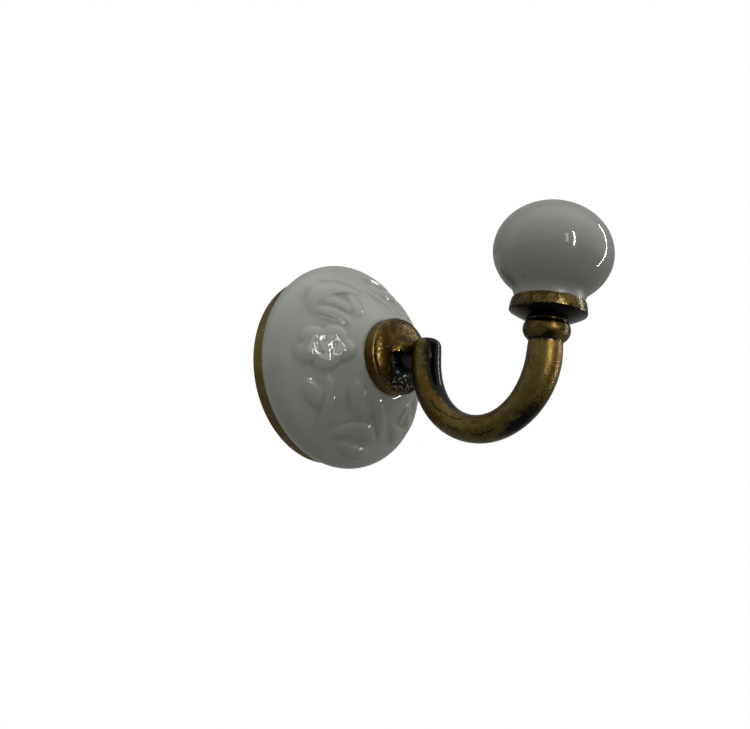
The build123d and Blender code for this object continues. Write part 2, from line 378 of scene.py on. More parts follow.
@dataclass(frozen=True)
class AgedBrass:
    """Lacquered brass, dark with age and with painted shade, rubbed bright on what stands out, with painted
    glints.
    """

    name: str

    # Colours, from bright metal to painted deep shade
    rubbed: Colour = (0.21, 0.145, 0.052)
    olive: Colour = (0.102, 0.075, 0.0225)
    amber: Colour = (0.074, 0.044, 0.0080)
    smoked: Colour = (0.029, 0.0145, 0.0020)
    black: Colour = (0.010, 0.0115, 0.0095)
    # Painted deep shade, near black, where smoke and patina meet on boss and cup
    deep_shade_black: Colour = (0.0006, 0.0006, 0.0005)
    # Pale painted glints on the dark boss
    glint_colour: Colour = (0.42, 0.41, 0.37)

    # Sizes of the patterns
    glint_size: float = 0.34 * MILLIMETRE
    speckle_size: float = 0.42 * MILLIMETRE
    speckle_stretch: Direction = (1.0, 1.0, 1.0)
    speckle_sharpness: float = 0.6
    mottle_size: float = 1.5 * MILLIMETRE
    mottle_detail: float = 5.0
    mottle_sharpness: float = 0.65
    patch_size: float = 7 * MILLIMETRE
    drawn_size: float = 0.5 * MILLIMETRE
    drawn_stretch: Direction = (9.0, 1.0, 1.0)

    # Bare metal: how far each pattern brightens it
    patch_band: Band = (0.35, 0.65)
    blotch_band: Band = (0.32, 0.68)
    drawn_share: float = 0.3
    rub_share: float = 0.6
    blotch_share: float = 0.22
    rubbed_band: Band = (0.45, 1.0)
    rubbed_most: float = 0.9

    # Patina, with its painted shade, and painted glints: how far each pattern breaks them up
    fine_band: Band = (0.25, 0.75)
    fine_break: float = 0.30
    blotch_break: float = 0.24
    least_break: float = 0.23
    stain_band: Band = (-0.32, 0.18)
    streak_break: float = 1.1
    streak_band: Band = (-0.35, 0.1)
    glint_band: Band = (0.57, 0.66)
    glint_patch_band: Band = (0.42, 0.6)

    # Gloss and relief
    polish: float = 0.17
    dullness: float = 0.38
    polish_band: Band = (0.35, 0.9)
    patina_gloss: float = 0.075
    deep_shade_dullness: float = 0.6
    deep_shade_band: Band = (0.92, 1.0)
    grain_depth: float = 0.065 * MILLIMETRE
    pit_depth: float = 0.06 * MILLIMETRE
    patina_levelling: float = 0.8
    smoke_levelling: float = 0.45
    deep_shade_roughening: float = 0.85

    def make(self) -> bpy.types.Material:
        """Build the material.

        Returns:
            The brass, which reads the mesh's attributes for patina with painted shade, rub, smoke with
            painted deep shade, streaks, painted glints, and the place along and across the bar.
        """
        shader = Shader(self.name)
        # Brown tint, which together with the patina gives painted deep shade
        smoke_and_shade = shader.attribute("smoke_and_shade")
        speckle = shader.noise(
            self.speckle_size, roughness=self.speckle_sharpness, stretch=self.speckle_stretch
        )
        mottle = shader.noise(self.mottle_size, self.mottle_detail, self.mottle_sharpness)
        blotch = shader.spread(mottle, self.blotch_band)

        wear = self.wear(shader, speckle, blotch)
        warm = shader.spread(shader.noise(self.patch_size, detail=2), self.patch_band)
        warm = shader.blend(warm, self.olive, self.amber)
        warm = shader.blend(smoke_and_shade, warm, self.smoked)
        bare = shader.blend(shader.spread(wear, self.rubbed_band, 0.0, self.rubbed_most), warm, self.rubbed)

        dark = self.darkness(shader, speckle, blotch)
        # Dark patina, and painted deep shade where it is smoked
        colour = shader.blend(dark, bare, shader.blend(smoke_and_shade, self.black, self.deep_shade_black))
        # Painted glints
        colour = shader.blend(self.glints(shader), colour, self.glint_colour)

        rough = shader.spread(wear, self.polish_band, self.dullness, self.polish)
        glossier = shader.calculate("MULTIPLY", dark, self.patina_gloss - self.dullness)
        rough = shader.calculate("MAXIMUM", shader.calculate("ADD", rough, glossier), self.patina_gloss)
        deep_shaded = shader.spread(smoke_and_shade, self.deep_shade_band, 0.0, self.deep_shade_dullness)
        rough = shader.calculate("MAXIMUM", rough, shader.calculate("MULTIPLY", deep_shaded, dark))

        relief = shader.calculate("MULTIPLY_ADD", dark, -self.patina_levelling, 1.0)
        relief = shader.calculate("MULTIPLY_ADD", smoke_and_shade, -self.smoke_levelling, relief)
        both = shader.calculate("MULTIPLY", smoke_and_shade, dark)
        relief = shader.calculate("MULTIPLY_ADD", both, self.deep_shade_roughening, relief)
        normal = shader.bump(mottle, self.pit_depth, strength=relief)
        normal = shader.bump(speckle, self.grain_depth, normal, relief)
        return shader.surface(Base_Color=colour, Metallic=1.0, Roughness=rough, Normal=normal)

    def wear(
        self, shader: Shader, speckle: bpy.types.NodeSocket, blotch: bpy.types.NodeSocket
    ) -> bpy.types.NodeSocket:
        """Work out how far the metal is rubbed bright.

        Args:
            shader: the material in hand.
            speckle: its finest pattern.
            blotch: its coarser pattern.

        Returns:
            From about 0 where it is dull to 1 or more where it is bright.
        """
        bar = shader.attribute("bar", "Vector")
        drawn = shader.noise(self.drawn_size, stretch=self.drawn_stretch, place=bar)
        centred = shader.calculate("SUBTRACT", drawn, 0.5)
        grain = shader.calculate("MULTIPLY_ADD", centred, self.drawn_share, speckle)
        wear = shader.calculate("MULTIPLY_ADD", shader.attribute("rub"), self.rub_share, grain)
        centred = shader.calculate("SUBTRACT", blotch, 0.5)
        return shader.calculate("MULTIPLY_ADD", centred, self.blotch_share, wear)

    def darkness(
        self, shader: Shader, speckle: bpy.types.NodeSocket, blotch: bpy.types.NodeSocket
    ) -> bpy.types.NodeSocket:
        """Break up the patina, with its painted shade, and the streaks as age and rubbing do.

        Args:
            shader: the material in hand.
            speckle: its finest pattern.
            blotch: its coarser pattern.

        Returns:
            From 0 on bare metal to 1 under full patina or painted shade.
        """
        fine = shader.spread(speckle, self.fine_band)
        coarse = shader.calculate("MULTIPLY_ADD", blotch, self.blotch_break, self.least_break)
        break_up = shader.calculate("MULTIPLY_ADD", fine, self.fine_break, coarse)
        stain = shader.calculate("SUBTRACT", shader.attribute("patina_and_shade"), break_up)
        broken = shader.calculate("MULTIPLY", speckle, self.streak_break)
        streak = shader.calculate("SUBTRACT", shader.attribute("streak"), broken)
        return shader.calculate(
            "MAXIMUM", shader.spread(stain, self.stain_band), shader.spread(streak, self.streak_band)
        )

    def glints(self, shader: Shader) -> bpy.types.NodeSocket:
        """Scatter small pale painted glints, as of light sparkling on the lacquer, where the mesh marks them.

        Args:
            shader: the material in hand.

        Returns:
            From 0 to 1 on a glint.
        """
        glints = shader.spread(shader.noise(self.glint_size, detail=2), self.glint_band)
        glints = shader.calculate("MULTIPLY", glints, shader.attribute("painted_glints"))
        patches = shader.spread(shader.noise(self.mottle_size, detail=1), self.glint_patch_band)
        return shader.calculate("MULTIPLY", glints, patches)


def mesh_piece(name: str, mesh: bpy.types.Mesh, material: bpy.types.Material) -> bpy.types.Object:
    """Link a mesh to the scene as a piece that rides on the hook.

    Args:
        name: the piece's name.
        mesh: its mesh, with its place in its vertices.
        material: its finish.

    Returns:
        The new object.
    """
    mesh.materials.clear()
    mesh.materials.append(material)
    mesh.shade_smooth()
    piece = bpy.data.objects.new(name, mesh)
    bpy.context.scene.collection.objects.link(piece)
    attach(piece, "root")
    return piece


def write_attribute(mesh: bpy.types.Mesh, name: str, values: np.ndarray) -> None:
    """Store a number or a place at each vertex of a mesh.

    Args:
        mesh: the mesh.
        name: the attribute's name.
        values: one number, or one row of three, for each vertex.
    """
    kind, key = ("FLOAT_VECTOR", "vector") if values.ndim == 2 else ("FLOAT", "value")
    attribute = mesh.attributes.new(name, kind, "POINT")
    attribute.data.foreach_set(key, np.asarray(values, dtype=np.float32).ravel())


def node_tree_of(node: Node) -> BVHTree:
    """Prepare a CAD node's surface for ray casts.

    Args:
        node: the node.

    Returns:
        Its triangles as a search tree, in the part's frame.
    """
    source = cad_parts[node.value]
    points = [source.matrix_world @ vertex.co for vertex in source.data.vertices]
    faces = [list(face.vertices) for face in source.data.polygons]
    return BVHTree.FromPolygons(points, faces)


def rise(values: np.ndarray, low: float | np.ndarray, high: float | np.ndarray) -> np.ndarray:
    """Rise evenly from 0 at low to 1 at high, or fall where high is the smaller of the two."""
    return np.clip((values - low) / (high - low), 0, 1)


def bell(values: np.ndarray, middle: float | np.ndarray, width: float) -> np.ndarray:
    """Rise to 1 at the middle and fall off smoothly on both sides."""
    return np.exp(-(((values - middle) / width) ** 2))


def wrap_blur(field_values: np.ndarray, sigma_rows: float, sigma_columns: np.ndarray) -> np.ndarray:
    """Blur a field on a polar grid, which closes on itself from column to column.

    Args:
        field_values: the field, by row (outwards) and column (round the axis).
        sigma_rows: spread across the rows, in rows.
        sigma_columns: spread along each row, in columns.

    Returns:
        The blurred field.
    """
    reach = max(1, int(3 * sigma_rows))
    offsets = np.arange(-reach, reach + 1)
    weights = np.exp(-0.5 * (offsets / sigma_rows) ** 2)
    weights /= weights.sum()
    padded = np.pad(field_values, ((reach, reach), (0, 0)), mode="edge")
    rows = sum(
        weight * padded[reach + offset : reach + offset + len(field_values)]
        for offset, weight in zip(offsets, weights)
    )
    waves = np.fft.rfftfreq(field_values.shape[1])
    damping = np.exp(-2 * (np.pi * waves[None, :] * sigma_columns[:, None]) ** 2)
    return np.fft.irfft(np.fft.rfft(rows, axis=1) * damping, n=field_values.shape[1], axis=1)


@dataclass
class Rose:
    """The domed ceramic rose, whose ornament is softened by its glaze."""

    finish: Glaze = field(default_factory=lambda: Glaze("rose_glaze_white", dimple_depth=0.0015 * MILLIMETRE))
    edge_radius: float = 5.8 * MILLIMETRE
    edge_height: float = 3.7 * MILLIMETRE
    shoulder_angle: float = 46.0
    land_radius: float = 9.8 * MILLIMETRE
    bore_radius: float = 3.4 * MILLIMETRE
    roof: float = 5.2 * MILLIMETRE
    roof_radius: float = 7.0 * MILLIMETRE
    rear_land: float = 3.4 * MILLIMETRE
    mouth_chamfer: float = 1.4 * MILLIMETRE
    columns: int = 600
    flank_rows: int = 96
    edge_rows: int = 26
    inside_step: float = 1.2 * MILLIMETRE
    ray_start: float = 10 * MILLIMETRE
    relief_range: Band = (0.03 * MILLIMETRE, 1.0 * MILLIMETRE)
    plain_rows_inside: int = 2
    plain_rows_outside: int = 3
    crispness: float = 0.45 * MILLIMETRE
    swelling: float = 0.9 * MILLIMETRE
    crisp_share: float = 0.2
    swell_share: float = 1.55
    welt: float = 0.13 * MILLIMETRE
    pooling_reach: float = 1.5 * MILLIMETRE
    pooling_strength: float = 2.0
    # Height of the painted contact shadow up the rear edge
    contact_shadow_height: float = 0.35 * MILLIMETRE

    def __post_init__(self) -> None:
        """Take the outer size and place from the CAD node."""
        low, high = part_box(Node.ROSE.value)
        self.radius = (high[0] - low[0]) / 2
        self.back = -high[1]
        self.front = -low[1]

    def outline(self) -> tuple[np.ndarray, int]:
        """Draw the rose's half section.

        Returns:
            Radius and height off the wall of each ring, from the front land outwards and back
            through the hollow, and the number of rings that carry ornament.
        """
        # The flank is an arc that leaves the rounded edge without a kink and ends at the land
        centre = np.array([self.radius - self.edge_radius, self.back + self.edge_height])
        shoulder = math.radians(self.shoulder_angle)
        outwards = np.array([math.sin(shoulder), math.cos(shoulder)])
        tangent = np.array([-math.cos(shoulder), math.sin(shoulder)])
        start = np.array([self.land_radius, self.front])
        end = centre + self.edge_radius * outwards
        chord = start - end
        length = float(np.linalg.norm(chord))
        turn = math.acos(float(chord @ tangent) / length)
        crown = length / 2 / math.sin(turn)
        steps = np.linspace(shoulder - 2 * turn, shoulder, self.flank_rows)
        flank = end - crown * outwards + crown * np.stack([np.sin(steps), np.cos(steps)], axis=1)
        rear = math.pi / 2 + math.asin(self.edge_height / self.edge_radius)
        steps = np.linspace(shoulder, rear, self.edge_rows)[1:]
        edge = centre + self.edge_radius * np.stack([np.sin(steps), np.cos(steps)], axis=1)

        # Back through the hollow and the bore, in straight runs
        mouth = self.radius - self.rear_land - self.mouth_chamfer
        ceiling = self.front - self.roof
        corners = [
            edge[-1],
            np.array([mouth, self.back]),
            np.array([self.roof_radius, ceiling]),
            np.array([self.bore_radius, ceiling]),
            np.array([self.bore_radius, self.front]),
            np.array([self.land_radius, self.front]),
        ]
        inner = []
        for first, second in zip(corners[:-1], corners[1:]):
            count = max(2, int(np.linalg.norm(second - first) / self.inside_step))
            inner.extend(first + (second - first) * share for share in np.linspace(0, 1, count + 1)[1:])
        return np.concatenate([flank, edge, np.array(inner[:-1])]), len(flank)

    def ornament(self, rings: np.ndarray, turns: np.ndarray) -> tuple[np.ndarray, np.ndarray]:
        """Read the raised ornament off the CAD node and soften it as a glaze does.

        Args:
            rings: the flank's rings, as radius and height off the wall.
            turns: angles of the columns, in radians.

        Returns:
            Height of the ornament over the plain dome, and how deep each place lies below its
            surroundings, both by ring and column.
        """
        surface = node_tree_of(Node.ROSE)
        to_wall = Vector((0, 1, 0))
        before = -self.front - self.ray_start
        raised = np.zeros((len(rings), len(turns)))
        for row, (radius, height) in enumerate(rings):
            for column, turn in enumerate(turns):
                start = Vector((radius * math.cos(turn), before, radius * math.sin(turn)))
                hit = surface.ray_cast(start, to_wall)[0]
                if hit is not None:
                    raised[row, column] = -hit[1] - height
        least, most = self.relief_range
        raised[(raised < least) | (raised > most)] = 0.0
        raised[: self.plain_rows_inside] = 0.0
        raised[-self.plain_rows_outside :] = 0.0
        step = float(np.linalg.norm(rings[-1] - rings[0])) / (len(rings) - 1)
        arc = rings[:, 0] * 2 * math.pi / len(turns)
        crisp, swollen, wide = (
            wrap_blur(raised, spread / step, spread / arc)
            for spread in (self.crispness, self.swelling, self.pooling_reach)
        )
        # Hollows beside the ornament, where the glaze pools and its darker tint paints shade
        hollow = np.clip((wide - crisp) / np.max(wide), 0, 1) * self.pooling_strength
        # The welt is highest half way up the relief's sides
        share = np.clip(crisp / max(float(np.max(raised)), TINY), 0, 1)
        welt = self.welt * 4 * share * (1 - share)
        return self.crisp_share * crisp + self.swell_share * swollen + welt, hollow

    def build(self) -> bpy.types.Object:
        """Build the rose.

        Returns:
            The glazed rose, standing for its CAD node.
        """
        rings, ornamented = self.outline()
        turns = np.linspace(0, 2 * math.pi, self.columns, endpoint=False)
        raised = np.zeros((len(rings), self.columns))
        hollow = np.zeros((len(rings), self.columns))
        raised[:ornamented], hollow[:ornamented] = self.ornament(rings[:ornamented], turns)
        radius = np.repeat(rings[:, :1], self.columns, axis=1)
        height = np.repeat(rings[:, 1:], self.columns, axis=1) + raised
        points = np.stack([radius * np.cos(turns), -height, radius * np.sin(turns)], axis=2).reshape(-1, 3)
        rows, columns = np.meshgrid(np.arange(len(rings)), np.arange(self.columns), indexing="ij")
        next_rows = (rows + 1) % len(rings)
        next_columns = (columns + 1) % self.columns
        corners = ((rows, columns), (next_rows, columns), (next_rows, next_columns), (rows, next_columns))
        faces = np.stack([row * self.columns + column for row, column in corners], axis=2).reshape(-1, 4)
        mesh = bpy.data.meshes.new("glazed_rose")
        mesh.from_pydata(points.tolist(), [], faces.tolist())
        mesh.update()
        # Painted contact shadow on the rear edge, where the rose meets the plate
        outside = radius > self.radius - self.rear_land
        contact_shadow = np.clip(1 - (height - self.back) / self.contact_shadow_height, 0, 1) * outside
        write_attribute(mesh, "hollow", hollow.ravel())
        write_attribute(mesh, "contact_shadow", contact_shadow.ravel())
        rose = mesh_piece("glazed_rose", mesh, self.finish.make())
        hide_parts(Node.ROSE.value)
        return rose


@dataclass(frozen=True)
class ArmPlaces:
    """Where each vertex of the arm lies: lengths in millimetres, angles in degrees, if not said."""

    side: np.ndarray  # along +X
    off_face: np.ndarray  # in front of the boss's face
    level: np.ndarray  # along +Z
    facing_up: np.ndarray  # the normal's share along +Z
    bar: np.ndarray  # along and across the bar, as if it were drawn out straight, in metres
    sweep: np.ndarray  # of the bend: 0 at the left leg, 180 at the right one
    around: np.ndarray  # round the bar from its inner side
    on_bar: np.ndarray  # whether it is on the bent bar
    on_neck: np.ndarray  # whether it is far enough out for bead and cup
    neck_height: np.ndarray  # above the cup's lower edge, along the leaning axis
    neck_across: np.ndarray  # to the right of that axis, seen from the front left

    @property
    def run(self) -> np.ndarray:
        """Distance along the bar."""
        return self.bar[:, 0] / MILLIMETRE

    @property
    def slanted(self) -> np.ndarray:
        """Distance in front of the boss's face and to the right of the arm, added up."""
        return self.side + self.off_face

    @property
    def from_axis(self) -> np.ndarray:
        """Distance from the boss's axis."""
        return np.hypot(self.side, self.level)


@dataclass(frozen=True)
class ArmWear:
    """Where the arm is dark with patina or painted shade, rubbed, or marked with painted glints.

    Places are in millimetres and angles in degrees. A band gives where a mark begins and where it
    is full. Strengths run from 0 to 1.
    """

    # Patina all over, and what a recess adds to it
    patina_least: float = 0.14
    patina_recess: float = 1.55
    patina_marks: float = 0.08

    # Boss: painted shade beside the stem and under it, down to the rim, where stem and leg shadow it
    boss_near: Band = (-0.6, -0.2)
    boss_far: Band = (6.4, 5.8)
    corner: Band = (-3.2, -1.2)
    corner_top: Band = (0.5, -0.4)
    corner_low: Band = (-9.2, -7.2)
    corner_strength: float = 0.9

    # Stem: lighter on its upper side, painted light against its shaded underside
    stem_start: float = 0.3
    stem_before_leg: float = 2.0
    stem_lit_level: float = -1.0
    stem_lit_share: float = 0.4

    # Bar: dark along the inside of the bend, patina with a painted dark reflection, narrower as it goes
    # round, and once outside
    inner_full_sweep: float = 80.0
    inner_most_turns: float = 1.6
    inner_edge: float = 76.0
    inner_edge_fall: float = 38.0
    inner_blend: float = 42.0
    inner_start: float = 1.15
    inner_fall: float = 0.35
    inner_least: float = 0.4
    inner_strength: float = 0.85
    outer_sweep: float = 124.0
    outer_spread: float = 20.0
    outer_around: Band = (112.0, 157.0)
    outer_strength: float = 0.72

    # Bead and cup: painted shade on the cup's underside, patina on the head that grows towards +X, dark in
    # the joint below the bead and in a patch on it
    under_above_bead: float = 2.0
    under_slope: Band = (0.35, 0.85)
    under_strength: float = 1.3
    under_middle: float = 0.6
    under_ends: Band = (3.2, 5.4)
    under_ends_fade: float = 0.85
    head_above_bead: float = -1.0
    head_side: Band = (-1.0, 4.0)
    head_least: float = 0.26
    head_more: float = 0.24
    joint_height: float = -6.45
    joint_spread: float = 0.42
    joint_across: Band = (3.0, 1.0)
    joint_least: float = 0.2
    joint_strength: float = 0.72
    patch_height: float = -6.0
    patch_slant: float = 0.35
    patch_spread: float = 1.1
    patch_width: float = 2.0
    patch_strength: float = 0.66

    # Smoke: the brown tint of boss and head, which turns the patina there into painted deep shade; the stem's
    # upper side is left out, lighter as painted light
    smoke_start: Band = (0.0, 0.5)
    smoke_end: Band = (7.0, 6.0)
    smoke_edge: float = 0.4
    lit_stem_level: float = 0.3
    lit_stem_radius: float = 3.6
    smoke_head_least: float = 0.5
    smoke_head_more: float = 0.4
    smoke_head_side: Band = (0.0, 8.0)

    # Rubbed edges, and how much of them is left on boss and head
    edge_bend: Band = (0.28, 0.98)
    rub_boss_depth: float = 2.0
    rub_boss_share: float = 0.3
    rub_head_share: float = 0.45

    # Painted glints: on the left side of the boss's dark corner and low on it
    glint_left_start: Band = (-3.6, -2.6)
    glint_left_end: Band = (-0.6, -1.6)
    glint_left_top: float = 0.5
    glint_low_level: Band = (-3.4, -5.0)
    glint_low_start: Band = (-3.8, -2.8)
    glint_faces: Band = (-0.4, 2.5)
    glint_lowest: float = -8.4

    # Streaks: two dark lines along the bar's side, which waver and break
    streak_run: Band = (-60.0, 120.0)
    streak_step: float = 0.55
    streak_wobble: float = 0.9
    streak_fine_wobble: float = 4.5
    streak_slow_wobble: float = 7.0
    streak_slow_every: int = 4
    streak_breaks: Band = (-0.1, 1.8)
    streak_break_every: int = 2
    streak_width: float = 3.2
    upper_around: float = 70.0
    upper_start: Band = (22.0, 34.0)
    upper_end: Band = (98.0, 86.0)
    lower_around: float = 111.0
    lower_drift: float = 14.0
    lower_drift_sweep: Band = (64.0, 94.0)
    lower_start: Band = (52.0, 66.0)
    lower_end: Band = (116.0, 104.0)
    lower_strength: float = 0.85


@dataclass
class Arm:
    """The cast brass arm: boss, stem, bent bar, bead and cup."""

    finish: AgedBrass = field(default_factory=lambda: AgedBrass("aged_cast_brass"))
    wear: ArmWear = field(default_factory=ArmWear)
    grid: float = 0.21 * MILLIMETRE
    merge_distance: float = 0.001 * MILLIMETRE
    fettling_rounds: int = 2
    fettling_share: float = 0.5
    recess_reach: float = 6.0 * MILLIMETRE
    recess_rays: int = 18
    recess_lift: float = 0.05 * MILLIMETRE
    recess_touching: float = 0.6 * MILLIMETRE
    recess_touching_share: float = 0.45
    edge_rounds: int = 2
    leg_reach: float = 35.2 * MILLIMETRE
    bend_start: float = -1.8 * MILLIMETRE
    bend_inner: float = 18.75 * MILLIMETRE
    bend_outer: float = 16.0 * MILLIMETRE
    bar_radius: float = 3.7 * MILLIMETRE
    bar_allowance: float = 1.1
    bar_above_bead: float = 4.0 * MILLIMETRE
    boss_face: float = 26.3 * MILLIMETRE
    boss_radius: float = 9.2 * MILLIMETRE
    bead_level: float = -0.6 * MILLIMETRE
    neck_reach: float = 55 * MILLIMETRE
    neck_half_height: float = 9.0 * MILLIMETRE
    cup_above_bend: float = 8.9 * MILLIMETRE
    lean: float = math.radians(3.4)
    front_left: Direction = (-0.703, -0.711, 0.0)
    front_right: Direction = (0.711, -0.703, 0.0)
    groove_depth: float = 0.06 * MILLIMETRE
    seed: int = 11

    def casting(self) -> bpy.types.Mesh:
        """Copy the CAD node and round its inner corners as a casting's are.

        Returns:
            The casting's mesh, evenly divided.
        """
        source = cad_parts[Node.ARM.value]
        form = bmesh.new()
        form.from_mesh(source.data)
        bmesh.ops.transform(form, matrix=source.matrix_world, verts=form.verts)
        bmesh.ops.remove_doubles(form, verts=form.verts, dist=self.merge_distance)
        mesh = bpy.data.meshes.new("cast_arm")
        form.to_mesh(mesh)
        form.free()
        helper = bpy.data.objects.new("casting_helper", mesh)
        bpy.context.scene.collection.objects.link(helper)
        remesh = helper.modifiers.new("even", "REMESH")
        remesh.mode = "VOXEL"
        remesh.voxel_size = self.grid
        smooth = helper.modifiers.new("fettled", "SMOOTH")
        smooth.factor = self.fettling_share
        smooth.iterations = self.fettling_rounds
        evaluated = helper.evaluated_get(bpy.context.evaluated_depsgraph_get())
        casting = bpy.data.meshes.new_from_object(evaluated)
        bpy.data.objects.remove(helper)
        casting.name = "cast_arm"
        return casting

    def recesses(self, mesh: bpy.types.Mesh) -> np.ndarray:
        """Find how hidden each vertex lies, where patina is left when a casting is rubbed.

        Args:
            mesh: the casting.

        Returns:
            For each vertex, the share of nearby space that the hook itself fills.
        """
        points = [vertex.co.copy() for vertex in mesh.vertices]
        normals = [vertex.normal.copy() for vertex in mesh.vertices]
        surface = BVHTree.FromPolygons(points, [list(face.vertices) for face in mesh.polygons])
        spiral = []
        for index in range(self.recess_rays):
            steepness = math.sqrt((index + 0.5) / self.recess_rays)
            turned = index * math.pi * (3 - math.sqrt(5))
            flat = math.sqrt(1 - steepness * steepness)
            spiral.append(Vector((flat * math.cos(turned), flat * math.sin(turned), steepness)))
        hidden = np.zeros(len(points))
        for index, (point, normal) in enumerate(zip(points, normals)):
            turn = normal.to_track_quat("Z", "Y")
            start = point + normal * self.recess_lift
            closeness = 0.0
            for ray in spiral:
                distance = surface.ray_cast(start, turn @ ray, self.recess_reach)[3]
                if distance is None:
                    continue
                touching = distance < self.recess_touching
                closeness += self.recess_touching_share if touching else 1 - distance / self.recess_reach
            hidden[index] = closeness / self.recess_rays
        return hidden

    def edges(self, mesh: bpy.types.Mesh, points: np.ndarray, normals: np.ndarray) -> np.ndarray:
        """Find how sharply the casting turns outwards at each vertex, where hands rub it.

        Args:
            mesh: the casting.
            points: its vertices.
            normals: their normals.

        Returns:
            From 0 on flat or hollow places to 1 on sharp outer edges.
        """
        pairs = np.empty(len(mesh.edges) * 2, dtype=np.int64)
        mesh.edges.foreach_get("vertices", pairs)
        first, second = pairs.reshape(-1, 2).T

        def gather(at_first: np.ndarray | None, at_second: np.ndarray | None) -> np.ndarray:
            """Add up at each vertex what its edges bring to their first and second ends."""
            return np.bincount(first, at_first, len(points)) + np.bincount(second, at_second, len(points))

        step = points[second] - points[first]
        length = np.maximum((step**2).sum(axis=1), TINY)
        turn = ((normals[second] - normals[first]) * step).sum(axis=1) / length
        count = np.maximum(gather(None, None), 1)
        bend = gather(turn, turn) / count * MILLIMETRE
        for _ in range(self.edge_rounds):
            bend = 0.5 * bend + 0.5 * gather(bend[second], bend[first]) / count
        return rise(bend, *self.wear.edge_bend)

    def along_bar(self, points: np.ndarray) -> tuple[np.ndarray, np.ndarray, np.ndarray]:
        """Find where each vertex lies on the bent bar, taken as if it were drawn out straight.

        Args:
            points: the casting's vertices.

        Returns:
            Their places along the bar, across it and towards the inside of the bend, in metres,
            the bend's sweep there, from 0 at the left leg to 180 degrees at the right one, and
            the angle round the bar from its inner side, in degrees.
        """
        middle = -(self.leg_reach + self.bend_inner)
        left = points[:, 1] > middle
        radius = np.where(left, self.bend_inner, self.bend_outer)
        level = np.where(left, self.bend_start, self.bend_start - self.bend_inner + self.bend_outer)
        out = points[:, 1] - middle
        drop = np.clip(level - points[:, 2], 0, None)
        turn = np.arctan2(drop, out)
        inward = radius - np.where(drop > 0, np.hypot(out, drop), np.abs(out))
        quarter = math.pi / 2
        run = np.where(left, radius * turn, self.bend_inner * quarter + radius * (turn - quarter))
        above = np.clip(points[:, 2] - level, 0, None)
        run += np.where(left, -above, above)
        place = np.stack([run, points[:, 0], inward], axis=1)
        around = np.degrees(np.arctan2(np.abs(points[:, 0]), inward))
        return place, np.degrees(turn), around

    def along_neck(self, points: np.ndarray) -> tuple[np.ndarray, np.ndarray]:
        """Find where each vertex lies on the turned neck of bead and cup.

        Args:
            points: the casting's vertices.

        Returns:
            The height above the cup's lower edge along the leaning axis, and the place to the right
            of that axis as seen from the front left, both in millimetres. Off the neck's front,
            both are far away.
        """
        tall = np.array([0.0, -math.sin(self.lean), math.cos(self.lean)])
        level = self.bend_start - self.bend_inner + self.bend_outer
        centre = np.array([0.0, -(self.leg_reach + self.bend_inner), level])
        foot = centre - self.bend_outer * np.array([0.0, math.cos(self.lean), math.sin(self.lean)])
        offset = (points - foot) / MILLIMETRE
        height = offset @ tall - self.cup_above_bend / MILLIMETRE
        across = offset @ np.array(self.front_right)
        here = (offset @ np.array(self.front_left) > 0) & (points[:, 1] < -self.neck_reach)
        here &= np.abs(height) < self.neck_half_height / MILLIMETRE
        return np.where(here, height, FAR_AWAY), np.where(here, across, FAR_AWAY)

    def places(self, points: np.ndarray, normals: np.ndarray) -> ArmPlaces:
        """Work out where each vertex lies on the arm.

        Args:
            points: the casting's vertices.
            normals: their normals.

        Returns:
            Their places.
        """
        x, y, z = points.T
        bar, sweep, around = self.along_bar(points)
        neck_height, neck_across = self.along_neck(points)
        past_leg = y < -(self.leg_reach - self.bar_radius * self.bar_allowance)
        return ArmPlaces(
            side=x / MILLIMETRE,
            off_face=(-y - self.boss_face) / MILLIMETRE,
            level=z / MILLIMETRE,
            facing_up=normals[:, 2],
            bar=bar,
            sweep=sweep,
            around=around,
            on_bar=past_leg & (z < self.bead_level + self.bar_above_bead),
            on_neck=y < -self.neck_reach,
            neck_height=neck_height,
            neck_across=neck_across,
        )

    def on_stem(self, at: ArmPlaces) -> np.ndarray:
        """Tell which vertices are on the stem between boss and leg."""
        end = (self.leg_reach - self.boss_face) / MILLIMETRE - self.wear.stem_before_leg
        return (at.off_face > self.wear.stem_start) & (at.off_face < end)

    def bar_patina_and_shade(self, at: ArmPlaces) -> np.ndarray:
        """Mark where the bent bar is dark: inside the bend, patina with a painted dark reflection, and in one
        place outside it.

        Args:
            at: the vertices' places.

        Returns:
            From 0 to 1.
        """
        wear = self.wear
        turns = np.clip(at.sweep / wear.inner_full_sweep, 0, wear.inner_most_turns)
        edge = wear.inner_edge - wear.inner_edge_fall * turns
        inner = rise(at.around, edge, edge - wear.inner_blend)
        inner *= np.clip(wear.inner_start - wear.inner_fall * turns, wear.inner_least, 1)
        outer = bell(at.sweep, wear.outer_sweep, wear.outer_spread) * rise(at.around, *wear.outer_around)
        return np.maximum(inner * wear.inner_strength, outer * wear.outer_strength) * at.on_bar

    def boss_painted_shade(self, at: ArmPlaces) -> np.ndarray:
        """Mark the painted shade on the boss: on its corner beside and under the stem, where stem and leg
        shadow it.

        Args:
            at: the vertices' places.

        Returns:
            From 0 to 1.
        """
        wear = self.wear
        corner = rise(at.slanted, *wear.corner)
        corner *= rise(at.level, *wear.corner_top) * rise(at.level, *wear.corner_low)
        near_face = rise(at.off_face, *wear.boss_near) * rise(at.off_face, *wear.boss_far)
        return near_face * corner * wear.corner_strength

    def neck_patina_and_shade(self, at: ArmPlaces) -> np.ndarray:
        """Mark where bead and cup are dark: painted shade on faces turned down, patina on the head that grows
        towards +X, and a dark joint and patch.

        Args:
            at: the vertices' places.

        Returns:
            From 0 to 1.
        """
        wear = self.wear
        over_bead = at.level - self.bead_level / MILLIMETRE
        flat, steep = wear.under_slope
